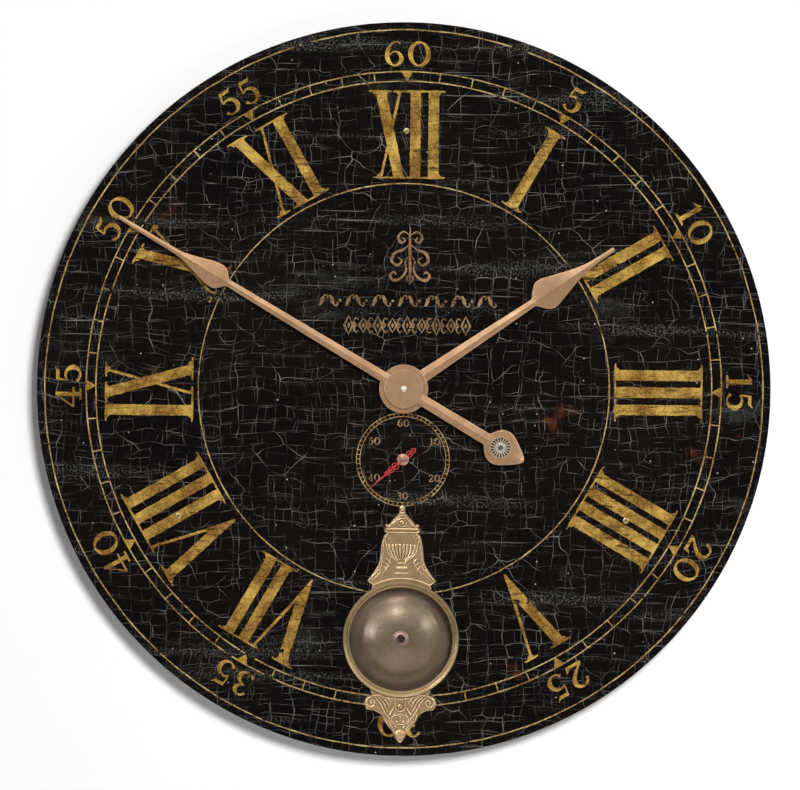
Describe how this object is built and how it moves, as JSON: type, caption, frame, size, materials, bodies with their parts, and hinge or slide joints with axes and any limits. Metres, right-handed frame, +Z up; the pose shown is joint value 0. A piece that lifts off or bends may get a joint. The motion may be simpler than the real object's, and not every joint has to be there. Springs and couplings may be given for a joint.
{
  "type": "pendulum wall clock",
  "caption": "Round wall clock with a crackled dark dial, spade hands, a small seconds dial and a domed pendulum bob swinging behind a cast-framed window.",
  "frame": {"origin": "on the hour and minute hands' axis, in the plane of the wall that the clock hangs on", "axes": "+Z up, +Y into the wall, so that the dial faces -Y; +X is the 3 o'clock side seen from the front"},
  "size_m": [0.7619, 0.0508, 0.762],
  "materials": {
    "dial_paint": "board under worn, crackled near-black paint",
    "hoop_board": "sanded fibreboard",
    "steel": "zinc-plated",
    "polished_steel": "polished",
    "screw_brass": "brass-plated",
    "bezel_brass": "cast, lightly lacquered",
    "bob_brass": "spun, browned",
    "hand_metal": "rose-brass lacquer",
    "silver": "bright filigree",
    "crystal": "faceted",
    "red_paint": "gloss red",
    "copper": "enamelled wire and copper plating",
    "magnet": "sintered",
    "rubber": "matte",
    "case_plastic": "moulded, fine texture",
    "gear_plastic": "natural acetal",
    "battery_jacket": "plain two-colour jacket",
    "circuit_board": "solder mask"
  },
  "bodies": {
    "root": {"dial_panel": "dial_paint", "back_hoop": "hoop_board", "hanger_block": "hoop_board", "keyhole_plate": "steel", "panel_screws": "screw_brass", "bezel_screws": "screw_brass", "keyhole_screws": "steel", "pendulum_bezel": "bezel_brass", "time_bush": "screw_brass", "time_washer": "screw_brass", "time_nut": "screw_brass", "seconds_bush": "screw_brass", "seconds_washer": "screw_brass", "seconds_nut": "screw_brass", "rubber_gasket": "rubber", "pendulum_drive_housing": "case_plastic", "pendulum_drive_coil": "copper", "pendulum_pivot_pin": "steel", "time_case_front": "case_plastic", "time_case_rear": "case_plastic", "time_battery": "battery_jacket", "time_battery_contacts": "steel", "time_circuit_board": "circuit_board", "time_stator": "steel", "time_coil": "copper", "seconds_case_front": "case_plastic", "seconds_case_rear": "case_plastic", "seconds_battery": "battery_jacket", "seconds_battery_contacts": "steel", "seconds_circuit_board": "circuit_board", "seconds_stator": "steel", "seconds_coil": "copper"},
    "minute_hand": {"minute_hand": "hand_metal", "minute_hand_collet": "hand_metal", "minute_cap_nut": "polished_steel", "counterweight_rosette": "silver", "rosette_crystal": "crystal", "minute_arbor": "gear_plastic"},
    "hour_hand": {"hour_hand": "hand_metal", "hour_hand_collet": "hand_metal", "hour_wheel": "gear_plastic"},
    "motion_wheel": {"motion_wheel": "gear_plastic"},
    "setting_knob": {"setting_knob": "case_plastic"},
    "third_wheel": {"third_wheel": "gear_plastic"},
    "fourth_wheel": {"fourth_wheel": "gear_plastic"},
    "time_intermediate_wheel": {"time_intermediate_wheel": "gear_plastic"},
    "time_rotor": {"time_rotor": "magnet"},
    "second_hand": {"second_hand": "red_paint", "second_hand_boss": "copper", "seconds_wheel": "gear_plastic"},
    "seconds_intermediate_wheel": {"seconds_intermediate_wheel": "gear_plastic"},
    "seconds_rotor": {"seconds_rotor": "magnet"},
    "pendulum": {"pendulum_hook": "steel", "pendulum_rod": "steel", "pendulum_drive_magnet": "magnet", "bob_back_plate": "bob_brass", "pendulum_bob": "bob_brass", "bob_eyelet": "bob_brass"}
  },
  "joints": [
    {"name": "minute_hand_turn", "type": "hinge", "parent": "root", "child": "minute_hand", "pos_m": [0, -0.02, 0], "axis": [0, 1, 0], "continuous": true},
    {"name": "hour_hand_turn", "type": "hinge", "parent": "root", "child": "hour_hand", "pos_m": [0, -0.02, 0], "axis": [0, 1, 0], "continuous": true},
    {"name": "motion_wheel_turn", "type": "hinge", "parent": "root", "child": "motion_wheel", "pos_m": [0.01182, -0.02, -0.00208], "axis": [0, 1, 0], "continuous": true},
    {"name": "setting_knob_turn", "type": "hinge", "parent": "root", "child": "setting_knob", "pos_m": [0.01531, -0.02, 0.01096], "axis": [0, 1, 0], "continuous": true},
    {"name": "third_wheel_turn", "type": "hinge", "parent": "root", "child": "third_wheel", "pos_m": [-0.0115, -0.02, 0.00419], "axis": [0, 1, 0], "continuous": true},
    {"name": "fourth_wheel_turn", "type": "hinge", "parent": "root", "child": "fourth_wheel", "pos_m": [-0.00607, -0.02, 0.01439], "axis": [0, 1, 0], "continuous": true},
    {"name": "time_intermediate_turn", "type": "hinge", "parent": "root", "child": "time_intermediate_wheel", "pos_m": [0.00215, -0.02, 0.01739], "axis": [0, 1, 0], "continuous": true},
    {"name": "time_rotor_turn", "type": "hinge", "parent": "root", "child": "time_rotor", "pos_m": [0.00815, -0.02, 0.01739], "axis": [0, 1, 0], "continuous": true},
    {"name": "second_hand_turn", "type": "hinge", "parent": "root", "child": "second_hand", "pos_m": [0, -0.02, -0.0732], "axis": [0, 1, 0], "continuous": true},
    {"name": "seconds_intermediate_turn", "type": "hinge", "parent": "root", "child": "seconds_intermediate_wheel", "pos_m": [-0.00758, -0.02, -0.06882], "axis": [0, 1, 0], "continuous": true},
    {"name": "seconds_rotor_turn", "type": "hinge", "parent": "root", "child": "seconds_rotor", "pos_m": [-0.01143, -0.02, -0.06423], "axis": [0, 1, 0], "continuous": true},
    {"name": "pendulum_swing", "type": "hinge", "parent": "root", "child": "pendulum", "pos_m": [0, -0.017, -0.107], "axis": [0, 1, 0], "range_deg": [-3.5, 3.5]}
  ],
  "couplings": [
    {"joint": "motion_wheel_turn", "follows": "minute_hand_turn", "ratio": -0.33333},
    {"joint": "hour_hand_turn", "follows": "minute_hand_turn", "ratio": 0.083333},
    {"joint": "setting_knob_turn", "follows": "minute_hand_turn", "ratio": 0.66667},
    {"joint": "third_wheel_turn", "follows": "minute_hand_turn", "ratio": -8},
    {"joint": "fourth_wheel_turn", "follows": "minute_hand_turn", "ratio": 60},
    {"joint": "time_intermediate_turn", "follows": "minute_hand_turn", "ratio": -360},
    {"joint": "time_rotor_turn", "follows": "minute_hand_turn", "ratio": 1800},
    {"joint": "seconds_intermediate_turn", "follows": "second_hand_turn", "ratio": -6},
    {"joint": "seconds_rotor_turn", "follows": "second_hand_turn", "ratio": 30}
  ]
}
